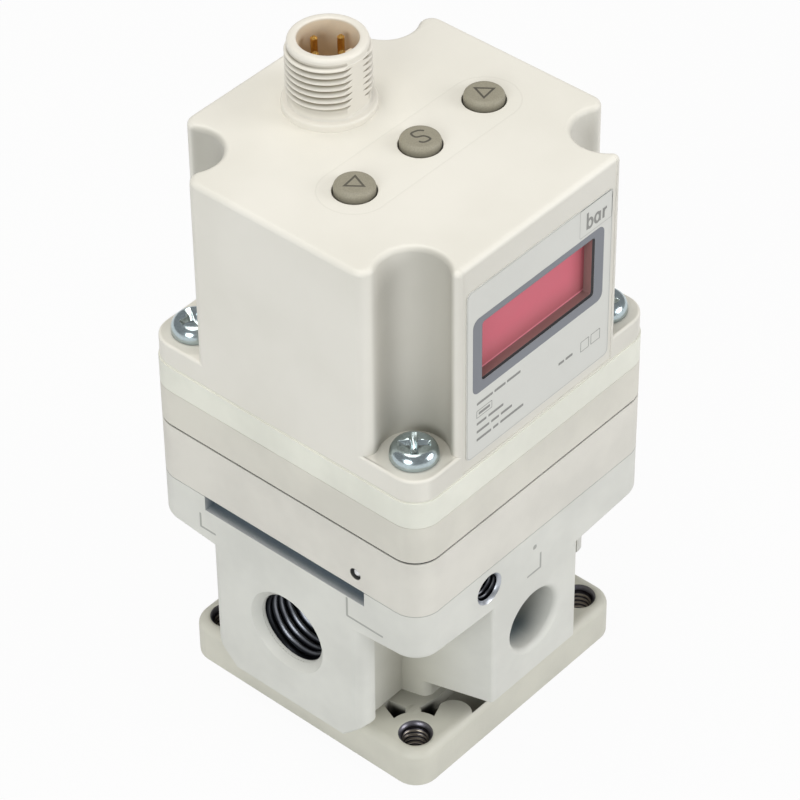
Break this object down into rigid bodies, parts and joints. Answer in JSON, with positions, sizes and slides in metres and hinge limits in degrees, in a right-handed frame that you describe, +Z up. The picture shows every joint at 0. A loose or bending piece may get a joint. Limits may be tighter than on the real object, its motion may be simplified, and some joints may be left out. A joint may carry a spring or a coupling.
{
  "type": "electro pneumatic regulator",
  "caption": "Square stacked-plate air pressure regulator with threaded ports, a base plate, a cover with a digital display and push buttons, and a round screw connector.",
  "frame": {"origin": "middle of the base plate's underside", "axes": "+Z up through the stack, the display faces -Y, the supply port faces -X"},
  "size_m": [0.05, 0.05, 0.1038],
  "materials": {
    "cast_body": "satin light grey paint on a die casting",
    "cast_base": "satin warm grey paint on a die casting",
    "cast_band": "satin pale paint on a die casting",
    "cast_pilot": "satin light grey paint on a die casting",
    "cast_housing": "satin light grey paint on a die casting",
    "machined_alloy": "turned",
    "steel": "plated",
    "zinc_steel": "bright zinc plate with a blue cast",
    "spring_steel": "drawn wire",
    "sensor_steel": "drawn can",
    "brass": "turned",
    "gilt_brass": "gold plated",
    "rubber": "moulded black rubber",
    "cover_plastic": "fine moulded satin, warm white",
    "connector_plastic": "moulded satin, warm white",
    "insert_plastic": "moulded tan",
    "button_plastic": "moulded grey with a rubbery sheen",
    "black_plastic": "moulded black",
    "label_film": "printed film, satin",
    "circuit_board": "green solder mask",
    "red_window": "tinted clear plastic"
  },
  "bodies": {
    "housing": {"base_plate": "cast_base", "base_screws": "steel", "base_seal": "rubber", "main_body": "cast_body", "valve_guide": "brass", "guide_seal": "rubber", "valve_spring": "spring_steel", "stem_seal": "rubber", "diaphragm": "rubber", "body_seal": "rubber", "diaphragm_housing": "cast_housing", "ball_plug": "steel", "pilot_block": "cast_pilot", "manifold_plate": "cast_band", "supply_pilot_valve": "black_plastic", "supply_plunger_spring": "spring_steel", "exhaust_pilot_valve": "black_plastic", "exhaust_plunger_spring": "spring_steel", "pilot_valve_screws": "steel", "pressure_sensor": "sensor_steel", "sensor_seal": "rubber", "board_posts": "brass", "board_screws": "steel", "control_board": "circuit_board", "tact_switches": "black_plastic", "display_board": "circuit_board", "led_display": "black_plastic", "display_window": "red_window", "cover_gasket": "rubber", "cover": "cover_plastic", "front_label": "label_film", "up_button_spring": "spring_steel", "set_button_spring": "spring_steel", "down_button_spring": "spring_steel", "connector_shell": "connector_plastic", "connector_insert": "insert_plastic", "contact_pins": "gilt_brass", "connector_gasket": "rubber", "connector_nut": "steel", "cover_screws": "zinc_steel"},
    "diaphragm_unit": {"diaphragm_stem": "machined_alloy", "diaphragm_lower_plate": "machined_alloy", "diaphragm_upper_plate": "machined_alloy", "stem_nut": "steel"},
    "main_valve_unit": {"main_valve": "machined_alloy", "valve_seat_rubber": "rubber"},
    "supply_plunger_unit": {"supply_plunger": "steel"},
    "exhaust_plunger_unit": {"exhaust_plunger": "steel"},
    "up_button_unit": {"up_button": "button_plastic"},
    "set_button_unit": {"set_button": "button_plastic"},
    "down_button_unit": {"down_button": "button_plastic"}
  },
  "joints": [
    {"name": "diaphragm_slide", "type": "slide", "parent": "housing", "child": "diaphragm_unit", "axis": [0, 0, 1], "range_m": [-0.0012, 0], "stiffness_N_per_m": 3000, "springref_m": 0.003, "deforming": ["diaphragm"]},
    {"name": "main_valve_slide", "type": "slide", "parent": "housing", "child": "main_valve_unit", "axis": [0, 0, 1], "range_m": [-0.0012, 0], "deforming": ["valve_spring"]},
    {"name": "supply_plunger_slide", "type": "slide", "parent": "housing", "child": "supply_plunger_unit", "axis": [0, 0, 1], "range_m": [0, 0.0005], "stiffness_N_per_m": 300, "springref_m": -0.003, "deforming": ["supply_plunger_spring"]},
    {"name": "exhaust_plunger_slide", "type": "slide", "parent": "housing", "child": "exhaust_plunger_unit", "axis": [0, 0, 1], "range_m": [0, 0.0005], "stiffness_N_per_m": 300, "springref_m": -0.003, "deforming": ["exhaust_plunger_spring"]},
    {"name": "up_button_slide", "type": "slide", "parent": "housing", "child": "up_button_unit", "axis": [0, 0, 1], "range_m": [-0.0005, 0], "stiffness_N_per_m": 400, "springref_m": 0.002, "deforming": ["up_button_spring"]},
    {"name": "set_button_slide", "type": "slide", "parent": "housing", "child": "set_button_unit", "axis": [0, 0, 1], "range_m": [-0.0005, 0], "stiffness_N_per_m": 400, "springref_m": 0.002, "deforming": ["set_button_spring"]},
    {"name": "down_button_slide", "type": "slide", "parent": "housing", "child": "down_button_unit", "axis": [0, 0, 1], "range_m": [-0.0005, 0], "stiffness_N_per_m": 400, "springref_m": 0.002, "deforming": ["down_button_spring"]}
  ],
  "couplings": [
    {"joint": "main_valve_slide", "follows": "diaphragm_slide", "ratio": 1}
  ]
}
